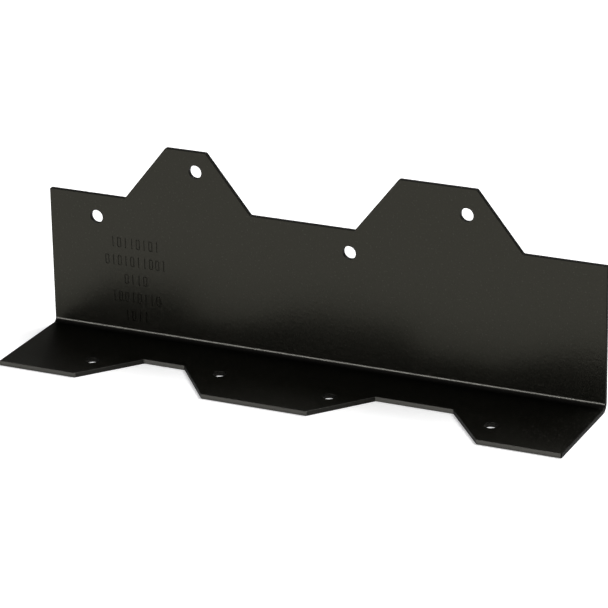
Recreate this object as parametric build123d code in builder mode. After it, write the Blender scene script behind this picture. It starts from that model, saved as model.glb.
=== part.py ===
# Reinforcing angle: one strip of sheet steel, stamped and folded once into two legs.
#
# The blanks are cut nose to tail from one coil, so the cut that leaves two tabs on
# the edge of the upright leg leaves two matching notches in the edge of the base leg.
# The part stands on its base leg: X runs along the fold, Y runs back towards the
# upright leg and Z is up. The origin is the middle of the rectangle that it stands in.

from build123d import *
import os

# sheet and fold
sheet = 1.44
inside_radius = 1.4

# overall size, outside to outside
length = 177.8
upright_height = 61.9
base_depth = 36.5

# wavy cut edge, read from the left-hand end: land, tab, land, tab, land
end_land = 25.4
narrow_tab = 13.2
broad_tab = 24.0
ramp_run = 14.1
ramp_rise = 17.5
corner_radius = 0.4

# nail holes
nail_hole = 4.1

# upright leg: each hole's place along the edge, and how far it sits below that edge
end_nail_inset = 15.6
middle_nail_back = 1.7
land_nail_drop = 7.1
narrow_tab_nail_shift = 3.0
narrow_tab_nail_drop = 6.3
broad_tab_nail_shift = 8.9
broad_tab_nail_drop = 8.0

# base leg: each hole's place beside a ramp, and how far it sits behind the front edge
end_nail_setback = 11.1
left_nail_back = 1.8
left_nail_setback = 15.9
right_nail_on = 1.5
right_nail_setback = 12.7

# block of plain bars and rings stamped into the inner face of the upright leg
stamp_rows = ("|o||o|o|", "o|o|o||oo|", "o||o", "|oo|o||o", "|o||")
stamp_inset = 28.3
stamp_top_drop = 14.2
stamp_row_pitch = 5.75
stamp_mark_pitch = 2.1
stamp_mark_height = 3.3
stamp_mark_width = 1.45
stamp_stroke = 0.42
stamp_depth = 0.16

# places worked out from the sizes above
left_end = -length / 2
right_end = length / 2
back = base_depth / 2
front = -base_depth / 2
outside_radius = inside_radius + sheet
bend_y = back - outside_radius
land_height = upright_height - ramp_rise
notch_front = front + ramp_rise
middle_land = length - 2 * end_land - 4 * ramp_run - narrow_tab - broad_tab

# where the cut edge turns, from left to right
narrow_start = left_end + end_land
narrow_left = narrow_start + ramp_run
narrow_right = narrow_left + narrow_tab
narrow_end = narrow_right + ramp_run
broad_start = narrow_end + middle_land
broad_left = broad_start + ramp_run
broad_right = broad_left + broad_tab
broad_end = broad_right + ramp_run


def cut_edge(land, tab):
    """The corners of the wavy edge, left to right, with lands and tabs at these levels."""
    return [
        (left_end, land),
        (narrow_start, land),
        (narrow_left, tab),
        (narrow_right, tab),
        (narrow_end, land),
        (broad_start, land),
        (broad_left, tab),
        (broad_right, tab),
        (broad_end, land),
        (right_end, land),
    ]


def mark_places(row, marks):
    """The centre of each mark in one stamped row, rows centred on one another."""
    top = land_height - stamp_top_drop
    middle = left_end + stamp_inset
    z = top - row * stamp_row_pitch
    first = middle - (len(marks) - 1) * stamp_mark_pitch / 2
    return [(first + i * stamp_mark_pitch, z) for i in range(len(marks))]


with BuildPart() as angle:
    # upright leg, from the top of the fold to its wavy edge
    with BuildSketch(Plane.XZ.offset(-back)):
        with BuildLine():
            Polyline(
                (left_end, outside_radius),
                *cut_edge(land_height, upright_height),
                (right_end, outside_radius),
                close=True,
            )
        make_face()
    extrude(amount=sheet)

    # base leg, whose notches lie in front of the upright leg's tabs
    with BuildSketch(Plane.XY):
        with BuildLine():
            Polyline(
                (left_end, bend_y),
                *cut_edge(front, notch_front),
                (right_end, bend_y),
                close=True,
            )
        make_face()
    extrude(amount=sheet)

    # fold between the legs
    with BuildSketch(Plane.YZ.offset(left_end)):
        with BuildLine():
            outside = CenterArc((bend_y, outside_radius), outside_radius, -90, 90)
            inside = CenterArc((bend_y, outside_radius), inside_radius, -90, 90)
            Line(outside @ 0, inside @ 0)
            Line(outside @ 1, inside @ 1)
        make_face()
    extrude(amount=length)

    # corners of the cut edge, a little rounded by the die
    across_upright = angle.edges().filter_by(Axis.Y)
    across_base = angle.edges().filter_by(Axis.Z)
    upright_corners = across_upright.filter_by_position(
        Axis.Z, land_height - sheet, upright_height + sheet
    )
    base_corners = across_base.filter_by_position(
        Axis.Y, front - sheet, notch_front + sheet
    )
    fillet(upright_corners + base_corners, corner_radius)

    # nail holes in the upright leg
    land_nail_z = land_height - land_nail_drop
    with Locations(Plane.XZ.offset(-back)):
        with Locations(
            (left_end + end_nail_inset, land_nail_z),
            (broad_start - middle_nail_back, land_nail_z),
            (
                (narrow_left + narrow_right) / 2 + narrow_tab_nail_shift,
                upright_height - narrow_tab_nail_drop,
            ),
            (
                (broad_left + broad_right) / 2 + broad_tab_nail_shift,
                upright_height - broad_tab_nail_drop,
            ),
        ):
            Hole(nail_hole / 2, depth=2 * sheet)

    # nail holes in the base leg
    with Locations(
        (narrow_start, front + end_nail_setback),
        (broad_end, front + end_nail_setback),
        (narrow_end - left_nail_back, front + left_nail_setback),
        (broad_start + right_nail_on, front + right_nail_setback),
    ):
        Hole(nail_hole / 2, depth=2 * sheet)

    # stamped marks
    with BuildSketch(Plane.XZ.offset(sheet - back)):
        for row, marks in enumerate(stamp_rows):
            for place, mark in zip(mark_places(row, marks), marks):
                with Locations(place):
                    if mark == "|":
                        SlotOverall(stamp_mark_height, stamp_stroke, rotation=90)
                    else:
                        SlotOverall(stamp_mark_height, stamp_mark_width, rotation=90)
                        SlotOverall(
                            stamp_mark_height - 2 * stamp_stroke,
                            stamp_mark_width - 2 * stamp_stroke,
                            rotation=90,
                            mode=Mode.SUBTRACT,
                        )
    extrude(amount=-stamp_depth, mode=Mode.SUBTRACT)

angle.part.label = "reinforcing_angle"

os.makedirs("parts", exist_ok=True)
export_step(angle.part, "parts/reinforcing_angle.step")
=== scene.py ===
import math

import bmesh
import bpy
from bpy.props import FloatProperty, FloatVectorProperty, IntProperty, PointerProperty
from mathutils import Matrix, Vector


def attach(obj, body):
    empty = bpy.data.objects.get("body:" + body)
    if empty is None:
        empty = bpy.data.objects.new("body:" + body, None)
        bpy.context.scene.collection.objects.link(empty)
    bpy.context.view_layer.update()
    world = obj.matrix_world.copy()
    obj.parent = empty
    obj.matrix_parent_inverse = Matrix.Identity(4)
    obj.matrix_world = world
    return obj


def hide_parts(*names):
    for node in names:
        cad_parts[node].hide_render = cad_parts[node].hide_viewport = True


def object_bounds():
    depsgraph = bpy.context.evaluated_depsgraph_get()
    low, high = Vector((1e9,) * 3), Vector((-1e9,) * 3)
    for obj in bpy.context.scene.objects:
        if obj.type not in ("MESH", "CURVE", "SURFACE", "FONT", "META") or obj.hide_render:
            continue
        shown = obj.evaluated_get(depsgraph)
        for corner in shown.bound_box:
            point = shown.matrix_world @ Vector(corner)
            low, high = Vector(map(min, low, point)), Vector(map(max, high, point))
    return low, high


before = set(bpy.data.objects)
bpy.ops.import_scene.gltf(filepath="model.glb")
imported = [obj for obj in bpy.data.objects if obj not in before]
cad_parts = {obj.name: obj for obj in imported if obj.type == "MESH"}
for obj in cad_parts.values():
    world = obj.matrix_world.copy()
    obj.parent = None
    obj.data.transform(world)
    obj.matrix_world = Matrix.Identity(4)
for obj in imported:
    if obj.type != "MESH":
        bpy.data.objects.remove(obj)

bl_info = {
    "name": "Reinforcing Angle",
    "version": (1, 0, 0),
    "blender": (4, 5, 0),
    "location": "3D View > Sidebar > Angle",
    "description": "A folded sheet-steel angle with a black powder coat, on a plain studio floor",
    "category": "Add Mesh",
}

# The angle is made as the real one is: a flat blank is cut with its nail holes, marked
# by a stamp, and folded once. Everything is in metres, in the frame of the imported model:
# X along the fold, Y back towards the upright leg, Z up.

CAD_NODE = "reinforcing_angle"
BODY = "root"
CAD_LOW, CAD_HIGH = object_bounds()
CAD_SIZE = [high - low for low, high in zip(CAD_LOW, CAD_HIGH)]
MM = 0.001


def length_property(name, description, millimetres):
    """A length in metres that the sidebar shows in the scene's own unit."""
    return FloatProperty(
        name=name,
        description=description,
        default=millimetres * MM,
        min=0.0,
        subtype="DISTANCE",
        unit="LENGTH",
        precision=5,
    )


def colour_property(name, description, colour):
    """A colour, or a tint, with all three values from 0 to 1."""
    return FloatVectorProperty(
        name=name,
        description=description,
        default=colour,
        size=3,
        min=0.0,
        max=1.0,
        subtype="COLOR",
    )


def share_property(name, description, share):
    """A plain number from 0 to 1."""
    return FloatProperty(name=name, description=description, default=share, min=0.0, max=1.0)


def place_property(name, description, metres):
    """A point in metres."""
    return FloatVectorProperty(
        name=name, description=description, default=metres, size=3, subtype="XYZ", unit="LENGTH"
    )


def direction_property(name, description, direction):
    """A direction from the middle of the angle, of any length."""
    return FloatVectorProperty(
        name=name, description=description, default=direction, size=3, subtype="XYZ"
    )


def angle_property(name, description, degrees):
    """An angle that the sidebar shows in degrees."""
    return FloatProperty(
        name=name, description=description, default=math.radians(degrees), subtype="ANGLE"
    )


def power_property(name, description, watts):
    """A lamp's power."""
    return FloatProperty(name=name, description=description, default=watts, min=0.0, unit="POWER")


class AngleSheet(bpy.types.PropertyGroup):
    """Sheet, fold and overall size."""

    length: length_property("Length", "Length along the fold", CAD_SIZE[0] / MM)
    depth: length_property("Base Depth", "Outside depth of the base leg", CAD_SIZE[1] / MM)
    height: length_property(
        "Upright Height", "Outside height of the upright leg at its tabs", CAD_SIZE[2] / MM
    )
    sheet: length_property("Sheet", "Thickness of the coated sheet", 1.44)
    inside_radius: length_property("Inside Radius", "Radius on the inner side of the fold", 1.4)
    cut_round: length_property("Cut Rounding", "Rounding of the cut edges under the coat", 0.14)
    corner_round: length_property("Corner Rounding", "Rounding of the corners of the outline", 0.3)
    fold_steps: IntProperty(name="Fold Steps", description="Facets across the fold", default=24, min=4)


class AngleOutline(bpy.types.PropertyGroup):
    """Lands, tabs and ramps of the wavy cut edge, read from the left-hand end."""

    end_land: length_property("End Land", "Straight stretch at each end", 25.4)
    narrow_tab: length_property("Narrow Tab", "Top of the narrow tab", 13.2)
    broad_tab: length_property("Broad Tab", "Top of the broad tab", 24.0)
    ramp_run: length_property("Ramp Run", "Length of each ramp along the fold", 14.1)
    ramp_rise: length_property("Ramp Rise", "Height of the tabs and depth of the notches", 17.5)


class AngleHoles(bpy.types.PropertyGroup):
    """Nail holes of both legs."""

    diameter: length_property("Diameter", "Diameter of every nail hole", 4.1)
    punch_round: length_property("Punch Rounding", "Rounding of each hole's rim", 0.03)
    steps: IntProperty(name="Steps", description="Facets round each hole", default=48, min=12)
    end_inset: length_property("End Inset", "Upright leg, first hole from the left end", 15.6)
    middle_back: length_property(
        "Middle Setback", "Upright leg, middle hole before the broad tab's ramp", 1.7
    )
    land_drop: length_property("Land Drop", "Upright leg, holes below the low edge", 7.1)
    narrow_shift: length_property("Narrow Tab Shift", "Hole right of the narrow tab's middle", 3.0)
    narrow_drop: length_property("Narrow Tab Drop", "Hole below the narrow tab's top", 6.3)
    broad_shift: length_property("Broad Tab Shift", "Hole right of the broad tab's middle", 8.9)
    broad_drop: length_property("Broad Tab Drop", "Hole below the broad tab's top", 8.0)
    outer_setback: length_property("Outer Setback", "Base leg, outer holes behind the front edge", 11.1)
    left_back: length_property("Left Inner Shift", "Base leg, left inner hole before its ramp's end", 1.8)
    left_setback: length_property(
        "Left Inner Setback", "Base leg, left inner hole behind the front edge", 15.9
    )
    right_on: length_property(
        "Right Inner Shift", "Base leg, right inner hole past its ramp's start", 1.5
    )
    right_setback: length_property(
        "Right Inner Setback", "Base leg, right inner hole behind the front edge", 12.7
    )


class AngleStamp(bpy.types.PropertyGroup):
    """Block of plain bars and rings stamped into the inner face of the upright leg."""

    inset: length_property("Inset", "Middle of the block from the left end", 28.3)
    top_drop: length_property("Top Drop", "First row below the low edge", 14.2)
    row_pitch: length_property("Row Pitch", "Distance between rows", 5.75)
    mark_pitch: length_property("Mark Pitch", "Distance between marks in a row", 2.1)
    mark_height: length_property("Mark Height", "Height of a mark", 3.3)
    mark_width: length_property("Mark Width", "Width of a ring", 1.45)
    stroke: length_property("Stroke", "Width of a bar and of a ring's line", 0.42)
    depth: length_property("Depth", "Depth of the marks", 0.16)
    shoulder: length_property("Shoulder", "Width of the sloping side of a mark", 0.12)


class AngleCoat(bpy.types.PropertyGroup):
    """Black powder coat, with copies on the cut edges and the bend whose lowered or raised reflection
    paints shade and highlights.
    """

    colour: colour_property("Colour", "Colour of the coat", (0.0005, 0.00045, 0.0003))
    edge_colour: colour_property(
        "Edge Colour", "Colour of the coat on the cut edges", (0.004, 0.0038, 0.003)
    )
    # Painted highlight: this colour, five times that of the other cut edges, lightens the base leg's
    # front edges and the notch bottoms.
    front_highlight_colour: colour_property(
        "Front Edge Highlight Colour", "Colour of the coat on the base leg's front edges", (0.02, 0.0195, 0.017)
    )
    speck_colour: colour_property(
        "Speck Colour", "Colour of the fine light specks in the coat", (0.013, 0.0126, 0.0112)
    )
    sheen_tint: colour_property("Reflection Tint", "Tint of what the faces reflect", (1.0, 0.97, 0.79))
    edge_tint: colour_property(
        "Edge Tint", "Tint of what the bend and the cut edges reflect", (1.0, 0.98, 0.89)
    )
    roughness: share_property("Roughness", "Roughness of the faces", 0.3)
    edge_roughness: share_property("Edge Roughness", "Roughness of the cut edges", 0.5)
    grain_share: share_property(
        "Grain Share", "Height of the grain beside the ripples, on the faces", 0.5
    )
    edge_grain_share: share_property(
        "Edge Grain Share", "Height of the grain beside the ripples, on the cut edges", 0.8
    )
    # Painted shade: this level, far under a plain coat's 0.5, darkens the upright leg's cut edges, the
    # ends and the walls of the upright's holes.
    edge_shade_specular: share_property("Edge Specular", "Specular level of the cut edges", 0.08)
    ramp_specular: share_property("Ramp Specular", "Specular level on the base leg's ramps", 0.44)
    face_ior: FloatProperty(name="Face IOR", description="Index of refraction on the faces", default=1.5)
    # Painted highlight: raised indices make the base leg's front edges, and the notch bottoms more,
    # reflect more brightly than the same coat elsewhere.
    front_highlight_ior: FloatProperty(
        name="Front Edge Highlight IOR", description="Index of refraction on the front edges", default=1.85
    )
    notch_highlight_ior: FloatProperty(
        name="Notch IOR", description="Index of refraction at the bottoms of the notches", default=2.2
    )
    # Painted highlight: an index above a plain coat's 1.5 makes the inside of the bend reflect more
    # brightly than the same coat elsewhere.
    bend_highlight_ior: FloatProperty(
        name="Bend IOR", description="Index of refraction of the fuller coat in the bend", default=2.1
    )
    peel_size: length_property("Peel Size", "Size of the slow ripples in the coat", 0.9)
    grain_size: length_property("Grain Size", "Size of the fine grain in the coat", 0.35)
    relief: length_property("Relief", "Height of the ripples and grain", 0.023)
    speck_size: length_property("Speck Size", "Size of the light specks", 0.6)


class AngleStage(bpy.types.PropertyGroup):
    """Floor, lamps and camera."""

    floor_radius: length_property("Floor Radius", "Radius of the floor", 6000.0)
    floor_colour: share_property("Floor Colour", "Grey of the floor", 0.8)
    floor_glow: share_property("Floor Glow", "White that is added where the camera sees the floor", 0.5)
    lamp_distance: length_property("Lamp Distance", "Distance of the lamps from the angle", 3000.0)
    back_direction: direction_property(
        "Back Direction", "Way to the lamp above and behind", (0.08, 0.57, 0.82)
    )
    back_width: length_property("Back Width", "Width of the lamp behind", 2900.0)
    back_height: length_property("Back Height", "Height of the lamp behind", 1400.0)
    back_power: power_property("Back Power", "Power of the lamp behind", 62.0)
    side_direction: direction_property(
        "Side Direction", "Way to the lamp above on the right", (0.45, 0.28, 0.85)
    )
    side_size: length_property("Side Lamp Size", "Side of the square lamp on the right", 2000.0)
    side_power: power_property("Side Power", "Power of the lamp on the right", 79.0)
    strip_direction: direction_property(
        "Strip Direction", "Way to the low strip lamp in front", (-0.26, -0.96, 0.06)
    )
    strip_width: length_property("Strip Width", "Width of the low strip lamp", 2400.0)
    strip_height: length_property("Strip Height", "Height of the low strip lamp", 250.0)
    strip_power: power_property("Strip Power", "Power of the low strip lamp in front", 16.5)
    room_light: share_property("Room Light", "Strength of the even room light", 0.02)
    lens: FloatProperty(
        name="Lens", description="Focal length", default=197.95, subtype="DISTANCE_CAMERA"
    )
    camera_distance: length_property("Camera Distance", "Camera to the point that it looks at", 983.3)
    aim: place_property("Aim", "Point that the camera looks at", (-0.00581, 0.01825, 0.01864))
    azimuth: angle_property("Azimuth", "How far round to the right the camera stands", 25.09)
    elevation: angle_property("Elevation", "How far above the horizon the camera stands", 21.242)
    roll: angle_property("Roll", "Turn of the camera about its own line of sight", -1.0)


STAMP_ROWS = ("|o||o|o|", "o|o|o||oo|", "o||o", "|oo|o||o", "|o||")

# Numbers of the finishes on the mesh, where 0 is the coat of the faces.
# Finish 1 paints shade with a low reflection; finishes 3, 4 and 5 paint highlights with a raised one.
EDGE_SHADE_COAT = 1
RAMP_COAT = 2
FRONT_HIGHLIGHT_COAT = 3
NOTCH_HIGHLIGHT_COAT = 4
BEND_HIGHLIGHT_COAT = 5

# Facets across rounded edges, across the rounded ends of the marks, and round the floor.
ROUND_STEPS = 3
MARK_ROUND_STEPS = 5
FLOOR_STEPS = 96

# Share of a mark's width that rounds each of its corners.
MARK_ROUNDING = 0.42

# Edges that turn by more than this are shown sharp, and points nearer than this are one.
SHARP_ANGLE = math.radians(35)
SAME_PLACE = 1e-7

# Noise above this level is a speck, and the gain sets how crisp the specks are.
SPECK_LEVEL = 0.68
SPECK_GAIN = 12.0

# Waves per metre of the slow drift in roughness.
DRIFT_SCALE = 60.0

# Width of the camera's sensor in millimetres.
SENSOR_WIDTH = 36.0


class Places:
    """Where things lie on the flat blank: x along the fold, v across it.

    The fold starts at v = 0. The base leg runs to negative v, and the upright leg
    starts at v = allowance, the length of sheet that the fold takes up.
    """

    def __init__(self, scene):
        self.sizes = scene.angle_sheet
        self.outline = scene.angle_outline
        self.holes = scene.angle_holes
        self.outside_radius = self.sizes.inside_radius + self.sizes.sheet
        self.allowance = math.pi / 2 * (self.sizes.inside_radius + self.sizes.sheet / 2)
        self.left = -self.sizes.length / 2
        self.right = self.sizes.length / 2
        self.back = self.sizes.depth / 2
        self.land_height = self.sizes.height - self.outline.ramp_rise
        self.narrow_start = self.left + self.outline.end_land
        self.narrow_left = self.narrow_start + self.outline.ramp_run
        self.narrow_right = self.narrow_left + self.outline.narrow_tab
        self.narrow_end = self.narrow_right + self.outline.ramp_run
        self.broad_end = self.right - self.outline.end_land
        self.broad_right = self.broad_end - self.outline.ramp_run
        self.broad_left = self.broad_right - self.outline.broad_tab
        self.broad_start = self.broad_left - self.outline.ramp_run

    def on_upright(self, height):
        """Place across the blank of a height on the upright leg."""
        return self.allowance + height - self.outside_radius

    def on_base(self, setback):
        """Place across the blank of a distance behind the base leg's front edge."""
        return setback - (self.sizes.depth - self.outside_radius)

    def cut_edge(self, land, tab):
        """Corners of the wavy edge, left to right, with lands and tabs at these places."""
        return [
            (self.left, land),
            (self.narrow_start, land),
            (self.narrow_left, tab),
            (self.narrow_right, tab),
            (self.narrow_end, land),
            (self.broad_start, land),
            (self.broad_left, tab),
            (self.broad_right, tab),
            (self.broad_end, land),
            (self.right, land),
        ]

    def blank(self):
        """Corners of the whole blank, counter-clockwise."""
        base = self.cut_edge(self.on_base(0.0), self.on_base(self.outline.ramp_rise))
        upright = self.cut_edge(self.on_upright(self.land_height), self.on_upright(self.sizes.height))
        return base + upright[::-1]

    def nail_holes(self):
        """Centres of the eight nail holes."""
        land = self.on_upright(self.land_height - self.holes.land_drop)
        narrow_middle = (self.narrow_left + self.narrow_right) / 2
        narrow_height = self.on_upright(self.sizes.height - self.holes.narrow_drop)
        broad_middle = (self.broad_left + self.broad_right) / 2
        broad_height = self.on_upright(self.sizes.height - self.holes.broad_drop)
        outer = self.on_base(self.holes.outer_setback)
        return [
            (self.left + self.holes.end_inset, land),
            (self.broad_start - self.holes.middle_back, land),
            (narrow_middle + self.holes.narrow_shift, narrow_height),
            (broad_middle + self.holes.broad_shift, broad_height),
            (self.narrow_start, outer),
            (self.broad_end, outer),
            (self.narrow_end - self.holes.left_back, self.on_base(self.holes.left_setback)),
            (self.broad_start + self.holes.right_on, self.on_base(self.holes.right_setback)),
        ]

    def folded(self, point):
        """Where a point of the flat blank goes when the sheet is folded."""
        bend = min(max(point.y, 0.0), self.allowance)
        turn = bend / self.allowance * math.pi / 2
        beyond = point.y - bend
        radius = self.outside_radius - point.z
        y = self.back - self.outside_radius + radius * math.sin(turn) + beyond * math.cos(turn)
        z = self.outside_radius - radius * math.cos(turn) + beyond * math.sin(turn)
        return Vector((point.x, y, z))


def round_off(bm, geom, offset, affect, steps=ROUND_STEPS):
    """Rounds corners or edges to an even curve."""
    return bmesh.ops.bevel(
        bm, geom=geom, offset=offset, affect=affect, segments=steps, profile=0.5, material=-1
    )


def cut_band(bm, places):
    """The cut edge all round the blank, with both of its rims rounded, and open above and below."""
    sheet = places.sizes.sheet
    corners = [bm.verts.new((x, v, 0.0)) for x, v in places.blank()]
    bm.faces.new(corners)
    round_off(bm, corners, places.sizes.corner_round, "VERTICES")
    raised = bmesh.ops.extrude_face_region(bm, geom=bm.faces[:])
    raised_verts = [item for item in raised["geom"] if isinstance(item, bmesh.types.BMVert)]
    bmesh.ops.translate(bm, verts=raised_verts, vec=(0.0, 0.0, sheet))
    rims = [edge for edge in bm.edges if abs(edge.verts[0].co.z - edge.verts[1].co.z) < sheet / 2]
    round_off(bm, rims, places.sizes.cut_round, "EDGES")
    bm.normal_update()
    caps = sorted(bm.faces, key=lambda face: face.calc_area())[-2:]
    bmesh.ops.delete(bm, geom=caps, context="FACES_ONLY")


def edge_coat(places, face):
    """Finish of a face of the cut edge: painted shade on the upright leg's edges and the ends, the ramp
    finish on the base leg's ramps, and painted highlights on the base leg's front edges, brightest at the
    bottoms of the notches.
    """
    middle = face.calc_center_median()
    if middle.y > 0 or abs(middle.x) > places.right - places.sizes.sheet:
        return EDGE_SHADE_COAT
    if abs(face.normal.y) < abs(face.normal.x):
        return RAMP_COAT
    return NOTCH_HIGHLIGHT_COAT if middle.y > places.on_base(places.outline.ramp_rise / 2) else FRONT_HIGHLIGHT_COAT


def nail_hole(bm, places, centre):
    """The wall of one punched hole, its rims rounded outwards, spun round the hole's axis."""
    sheet = places.sizes.sheet
    radius = places.holes.diameter / 2
    rounding = places.holes.punch_round
    section = []
    for step in range(ROUND_STEPS + 1):
        turn = math.pi / 2 * step / ROUND_STEPS
        section.append((radius + rounding * (1 - math.sin(turn)), rounding * (1 - math.cos(turn))))
    section += [(r, sheet - z) for r, z in reversed(section)]
    verts = [bm.verts.new((centre[0] + r, centre[1], z)) for r, z in section]
    edges = [bm.edges.new(pair) for pair in zip(verts, verts[1:])]
    bmesh.ops.spin(
        bm, geom=verts + edges, cent=(centre[0], centre[1], 0.0), axis=(0.0, 0.0, 1.0),
        angle=math.tau, steps=places.holes.steps, use_merge=True,
    )


def sink(bm, face, thickness, depth):
    """Insets a face and moves what is inside the new ring by this depth."""
    bmesh.ops.inset_region(
        bm, faces=[face], thickness=thickness, depth=depth, use_boundary=True, use_even_offset=True,
    )


def stamped_mark(bm, stamp, centre, ring):
    """One mark sunk below the inner face: a round-ended bar, or a ring of the same height."""
    width = stamp.mark_width if ring else stamp.stroke
    shape = Matrix.LocRotScale(Vector(centre), None, Vector((width, stamp.mark_height, 1.0)))
    made = bmesh.ops.create_grid(bm, x_segments=1, y_segments=1, size=0.5, matrix=shape)
    rounded = round_off(bm, made["verts"], width * MARK_ROUNDING, "VERTICES", MARK_ROUND_STEPS)
    inner = rounded["verts"][0].link_faces[0]
    sink(bm, inner, stamp.shoulder, -stamp.depth)
    if ring:
        sink(bm, inner, stamp.stroke - 2 * stamp.shoulder, 0.0)
        sink(bm, inner, stamp.shoulder, stamp.depth)


def stamped_block(bm, places, stamp):
    """All the rows of marks, each row centred on the others."""
    middle = places.left + stamp.inset
    for row, marks in enumerate(STAMP_ROWS):
        height = places.land_height - stamp.top_drop - row * stamp.row_pitch
        first = middle - (len(marks) - 1) * stamp.mark_pitch / 2
        for place, mark in enumerate(marks):
            centre = (first + place * stamp.mark_pitch, places.on_upright(height), places.sizes.sheet)
            stamped_mark(bm, stamp, centre, mark == "o")


def close_face(bm, level):
    """Fills the sheet's face at this level between its outline and everything cut into it."""
    rim = [
        edge for edge in bm.edges
        if edge.is_boundary and all(abs(vert.co.z - level) < SAME_PLACE for vert in edge.verts)
    ]
    bmesh.ops.triangle_fill(
        bm, edges=rim, use_beauty=True, use_dissolve=False, normal=(0.0, 0.0, 1.0)
    )


def fold(bm, places):
    """Cuts the flat sheet into narrow bands across the fold, gives its inner side the finish that paints
    the bend's highlight, and bends it.
    """
    steps = places.sizes.fold_steps
    for step in range(steps + 1):
        bmesh.ops.bisect_plane(
            bm, geom=bm.verts[:] + bm.edges[:] + bm.faces[:], dist=SAME_PLACE,
            plane_co=(0.0, places.allowance * step / steps, 0.0), plane_no=(0.0, 1.0, 0.0),
        )
    for face in bm.faces:
        middle = face.calc_center_median()
        in_fold = 0 < middle.y < places.allowance and middle.z > places.sizes.sheet / 2
        if in_fold and face.material_index != EDGE_SHADE_COAT:
            face.material_index = BEND_HIGHLIGHT_COAT
    for vert in bm.verts:
        vert.co = places.folded(vert.co)


def folded_angle(scene):
    """The whole angle as one closed mesh."""
    places = Places(scene)
    bm = bmesh.new()
    cut_band(bm, places)
    for face in bm.faces:
        face.material_index = edge_coat(places, face)
    for centre in places.nail_holes():
        nail_hole(bm, places, centre)
    # The walls of the upright's holes take the cut-edge finish with painted shade.
    for face in bm.faces:
        if not face.material_index:
            face.material_index = RAMP_COAT if face.calc_center_median().y < 0 else EDGE_SHADE_COAT
    stamped_block(bm, places, scene.angle_stamp)
    close_face(bm, 0.0)
    close_face(bm, places.sizes.sheet)
    fold(bm, places)
    bmesh.ops.remove_doubles(bm, verts=bm.verts[:], dist=SAME_PLACE)
    bmesh.ops.recalc_face_normals(bm, faces=bm.faces[:])
    if any(not edge.is_manifold for edge in bm.edges):
        raise RuntimeError("the folded sheet isn't closed")
    for face in bm.faces:
        face.smooth = True
    for edge in bm.edges:
        edge.smooth = edge.calc_face_angle() < SHARP_ANGLE
    mesh = bpy.data.meshes.new("folded_angle")
    bm.to_mesh(mesh)
    bm.free()
    return mesh


def new_group(name, inputs, outputs):
    """An empty shader node group with named float inputs and outputs."""
    group = bpy.data.node_groups.new(name, "ShaderNodeTree")
    for socket, default in inputs.items():
        item = group.interface.new_socket(name=socket, in_out="INPUT", socket_type="NodeSocketFloat")
        item.default_value = default
    for socket in outputs:
        group.interface.new_socket(name=socket, in_out="OUTPUT", socket_type="NodeSocketFloat")
    nodes = group.nodes
    return group, nodes.new("NodeGroupInput"), nodes.new("NodeGroupOutput")


def math_node(tree, operation, first, second):
    """A Math node whose two inputs are sockets or plain numbers."""
    node = tree.nodes.new("ShaderNodeMath")
    node.operation = operation
    for slot, value in enumerate((first, second)):
        if isinstance(value, bpy.types.NodeSocket):
            tree.links.new(value, node.inputs[slot])
        else:
            node.inputs[slot].default_value = value
    return node.outputs[0]


def noise_node(tree, vector, scale, detail):
    """A Noise Texture that reads this vector, its scale a socket or a plain number."""
    node = tree.nodes.new("ShaderNodeTexNoise")
    node.inputs["Detail"].default_value = detail
    tree.links.new(vector, node.inputs["Vector"])
    if isinstance(scale, bpy.types.NodeSocket):
        tree.links.new(scale, node.inputs["Scale"])
    else:
        node.inputs["Scale"].default_value = scale
    return node.outputs["Fac"]


def powder_group():
    """Relief, specks and uneven roughness of a baked powder coat."""
    group, entry, leave = new_group(
        "Powder Coat",
        {
            "Peel Scale": 800.0,
            "Grain Scale": 2200.0,
            "Grain Share": 0.5,
            "Speck Scale": 1600.0,
            "Roughness": 0.4,
            "Unevenness": 0.05,
        },
        ("Height", "Specks", "Roughness"),
    )
    place = group.nodes.new("ShaderNodeTexCoord").outputs["Object"]
    peel = noise_node(group, place, entry.outputs["Peel Scale"], 1.0)
    grain = noise_node(group, place, entry.outputs["Grain Scale"], 2.0)
    height = math_node(group, "MULTIPLY", grain, entry.outputs["Grain Share"])
    height = math_node(group, "ADD", peel, height)
    group.links.new(height, leave.inputs["Height"])
    dots = noise_node(group, place, entry.outputs["Speck Scale"], 0.0)
    above = math_node(group, "SUBTRACT", dots, SPECK_LEVEL)
    specks = group.nodes.new("ShaderNodeClamp")
    group.links.new(math_node(group, "MULTIPLY", above, SPECK_GAIN), specks.inputs["Value"])
    group.links.new(specks.outputs["Result"], leave.inputs["Specks"])
    drift = noise_node(group, place, DRIFT_SCALE, 3.0)
    centred = math_node(group, "SUBTRACT", drift, 0.5)
    change = math_node(group, "MULTIPLY", centred, entry.outputs["Unevenness"])
    rough = math_node(group, "ADD", entry.outputs["Roughness"], change)
    group.links.new(rough, leave.inputs["Roughness"])
    return group


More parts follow.
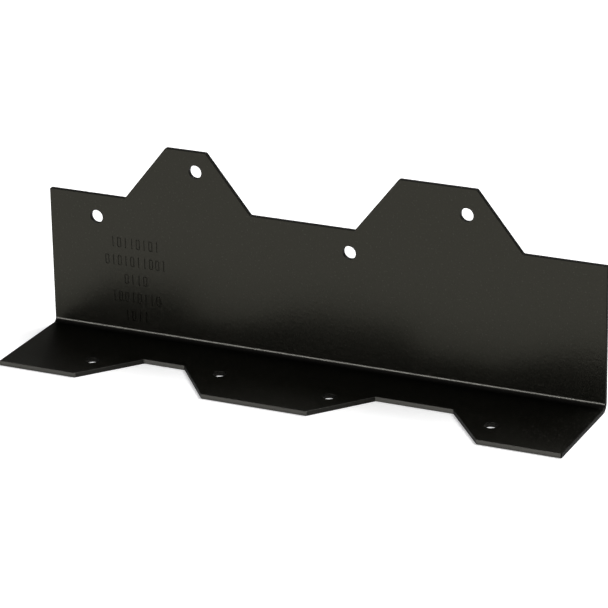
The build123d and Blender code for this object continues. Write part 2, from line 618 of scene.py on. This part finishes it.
def coat_material(name, group, coat, colour, tint, texture, level):
    """One finish of the coat: its colour, its tint, its (roughness, grain share) and its reflection.

    The reflection is one socket of the shader with its value.
    """
    roughness, grain_share = texture
    socket, value = level
    material = bpy.data.materials.new(name)
    material.use_nodes = True
    tree = material.node_tree
    shader = tree.nodes["Principled BSDF"]
    shader.inputs["Specular Tint"].default_value = (*tint, 1.0)
    shader.inputs[socket].default_value = value
    powder = tree.nodes.new("ShaderNodeGroup")
    powder.node_tree = group
    powder.inputs["Peel Scale"].default_value = 1.0 / coat.peel_size
    powder.inputs["Grain Scale"].default_value = 1.0 / coat.grain_size
    powder.inputs["Grain Share"].default_value = grain_share
    powder.inputs["Speck Scale"].default_value = 1.0 / coat.speck_size
    powder.inputs["Roughness"].default_value = roughness
    specked = tree.nodes.new("ShaderNodeMix")
    specked.data_type = "RGBA"
    specked.inputs["A"].default_value = (*colour, 1.0)
    specked.inputs["B"].default_value = (*coat.speck_colour, 1.0)
    tree.links.new(powder.outputs["Specks"], specked.inputs["Factor"])
    tree.links.new(specked.outputs["Result"], shader.inputs["Base Color"])
    bump = tree.nodes.new("ShaderNodeBump")
    bump.inputs["Distance"].default_value = coat.relief
    tree.links.new(powder.outputs["Height"], bump.inputs["Height"])
    tree.links.new(powder.outputs["Roughness"], shader.inputs["Roughness"])
    tree.links.new(bump.outputs["Normal"], shader.inputs["Normal"])
    return material


def coat_materials(coat):
    """All finishes of the coat, in the order of their numbers on the mesh. The cut-edge finish paints
    shade, and the front edge, notch and bend finishes paint highlights.
    """
    group = powder_group()
    face = (coat.roughness, coat.grain_share)
    edge = (coat.edge_roughness, coat.edge_grain_share)
    finishes = (
        ("Face", coat.colour, coat.sheen_tint, face, ("IOR", coat.face_ior)),
        ("Cut Edge Shade", coat.edge_colour, coat.edge_tint, edge, ("Specular IOR Level", coat.edge_shade_specular)),
        ("Ramp", coat.edge_colour, coat.edge_tint, edge, ("Specular IOR Level", coat.ramp_specular)),
        ("Front Edge Highlight", coat.front_highlight_colour, coat.edge_tint, edge, ("IOR", coat.front_highlight_ior)),
        ("Notch Highlight", coat.front_highlight_colour, coat.edge_tint, edge, ("IOR", coat.notch_highlight_ior)),
        ("Bend Highlight", coat.colour, coat.edge_tint, face, ("IOR", coat.bend_highlight_ior)),
    )
    return [
        coat_material("Powder Coat " + name, group, coat, colour, tint, texture, level)
        for name, colour, tint, texture, level in finishes
    ]


class ANGLE_OT_folded_sheet(bpy.types.Operator):
    """Make the folded, powder-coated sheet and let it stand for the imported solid"""

    bl_idname = "angle.folded_sheet"
    bl_label = "Folded Sheet"

    def execute(self, context):
        scene = context.scene
        mesh = folded_angle(scene)
        for material in coat_materials(scene.angle_coat):
            mesh.materials.append(material)
        piece = bpy.data.objects.new("angle_sheet", mesh)
        scene.collection.objects.link(piece)
        normals = piece.modifiers.new("Even Normals", "WEIGHTED_NORMAL")
        normals.keep_sharp = True
        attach(piece, BODY)
        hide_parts(CAD_NODE)
        return {"FINISHED"}


def floor_material(stage):
    """White floor: plain pale paint that shows white to the camera and keeps soft shadows."""
    material = bpy.data.materials.new("Studio Floor")
    material.use_nodes = True
    tree = material.node_tree
    shader = tree.nodes["Principled BSDF"]
    shader.inputs["Base Color"].default_value = (*[stage.floor_colour] * 3, 1.0)
    shader.inputs["Roughness"].default_value = 0.9
    shader.inputs["Specular IOR Level"].default_value = 0.0
    path = tree.nodes.new("ShaderNodeLightPath")
    glow = math_node(tree, "MULTIPLY", path.outputs["Is Camera Ray"], stage.floor_glow)
    shader.inputs["Emission Color"].default_value = (1.0, 1.0, 1.0, 1.0)
    tree.links.new(glow, shader.inputs["Emission Strength"])
    return material


def studio_floor(scene):
    """A large round floor at the level that the angle stands on."""
    stage = scene.angle_stage
    bm = bmesh.new()
    bmesh.ops.create_circle(bm, cap_ends=True, segments=FLOOR_STEPS, radius=stage.floor_radius)
    bmesh.ops.translate(bm, verts=bm.verts[:], vec=(0.0, 0.0, CAD_LOW[2]))
    mesh = bpy.data.meshes.new("studio_floor")
    bm.to_mesh(mesh)
    bm.free()
    mesh.materials.append(floor_material(stage))
    floor = bpy.data.objects.new("studio_floor", mesh)
    scene.collection.objects.link(floor)


def soft_lamp(scene, name, direction, width, height, power):
    """A broad lamp that faces the middle of the angle from this direction."""
    stage = scene.angle_stage
    data = bpy.data.lights.new(name, "AREA")
    data.shape = "RECTANGLE"
    data.size = width
    data.size_y = height
    data.energy = power
    lamp = bpy.data.objects.new(name, data)
    towards = Vector(direction).normalized()
    lamp.location = towards * stage.lamp_distance
    lamp.rotation_euler = towards.to_track_quat("Z", "Y").to_euler()
    scene.collection.objects.link(lamp)


def studio_lamps(scene):
    """The broad lamps behind and on the right, and the low strip in front."""
    lamp = scene.angle_stage
    soft_lamp(
        scene, "back_lamp", lamp.back_direction, lamp.back_width, lamp.back_height, lamp.back_power
    )
    soft_lamp(scene, "side_lamp", lamp.side_direction, lamp.side_size, lamp.side_size, lamp.side_power)
    soft_lamp(
        scene, "strip_lamp", lamp.strip_direction, lamp.strip_width, lamp.strip_height, lamp.strip_power
    )


def room_light(scene):
    """An even white room, at full white where the camera sees it."""
    world = bpy.data.worlds.new("Studio Room")
    scene.world = world
    world.use_nodes = True
    tree = world.node_tree
    background = tree.nodes["Background"]
    background.inputs["Color"].default_value = (1.0, 1.0, 1.0, 1.0)
    level = scene.angle_stage.room_light
    path = tree.nodes.new("ShaderNodeLightPath")
    seen = math_node(tree, "MULTIPLY", path.outputs["Is Camera Ray"], 1.0 - level)
    strength = math_node(tree, "ADD", seen, level)
    tree.links.new(strength, background.inputs["Strength"])


def photo_camera(scene):
    """The camera at the photograph's viewing angle."""
    stage = scene.angle_stage
    data = bpy.data.cameras.new("photo_camera")
    data.sensor_width = SENSOR_WIDTH
    data.lens = stage.lens
    camera = bpy.data.objects.new("photo_camera", data)
    sine, cosine = math.sin(stage.azimuth), math.cos(stage.azimuth)
    flat = math.cos(stage.elevation)
    away = Vector((sine * flat, -cosine * flat, math.sin(stage.elevation)))
    right = Vector((cosine, sine, 0.0))
    axes = Matrix((right, away.cross(right), away)).transposed()
    turned = axes @ Matrix.Rotation(stage.roll, 3, "Z")
    place = Vector(stage.aim) + away * stage.camera_distance
    camera.matrix_world = Matrix.Translation(place) @ turned.to_4x4()
    scene.collection.objects.link(camera)
    scene.camera = camera


class ANGLE_OT_studio(bpy.types.Operator):
    """Set up the floor, the room, the lamps and the camera"""

    bl_idname = "angle.studio"
    bl_label = "Studio"

    def execute(self, context):
        scene = context.scene
        scene.view_settings.view_transform = "Standard"
        studio_floor(scene)
        room_light(scene)
        studio_lamps(scene)
        photo_camera(scene)
        return {"FINISHED"}


class ANGLE_PT_sidebar(bpy.types.Panel):
    """Lists what makes the angle and its studio"""

    bl_idname = "ANGLE_PT_sidebar"
    bl_label = "Reinforcing Angle"
    bl_space_type = "VIEW_3D"
    bl_region_type = "UI"
    bl_category = "Angle"

    def draw(self, context):
        self.layout.operator(ANGLE_OT_folded_sheet.bl_idname)
        self.layout.operator(ANGLE_OT_studio.bl_idname)


PROPERTY_GROUPS = {
    "angle_sheet": AngleSheet,
    "angle_outline": AngleOutline,
    "angle_holes": AngleHoles,
    "angle_stamp": AngleStamp,
    "angle_coat": AngleCoat,
    "angle_stage": AngleStage,
}
OTHER_CLASSES = (ANGLE_OT_folded_sheet, ANGLE_OT_studio, ANGLE_PT_sidebar)


def register():
    for name, group in PROPERTY_GROUPS.items():
        bpy.utils.register_class(group)
        setattr(bpy.types.Scene, name, PointerProperty(type=group))
    for cls in OTHER_CLASSES:
        bpy.utils.register_class(cls)


def unregister():
    for cls in reversed(OTHER_CLASSES):
        bpy.utils.unregister_class(cls)
    for name, group in reversed(PROPERTY_GROUPS.items()):
        delattr(bpy.types.Scene, name)
        bpy.utils.unregister_class(group)


def main():
    register()
    bpy.ops.angle.folded_sheet()
    bpy.ops.angle.studio()


if __name__ == "__main__":
    main()
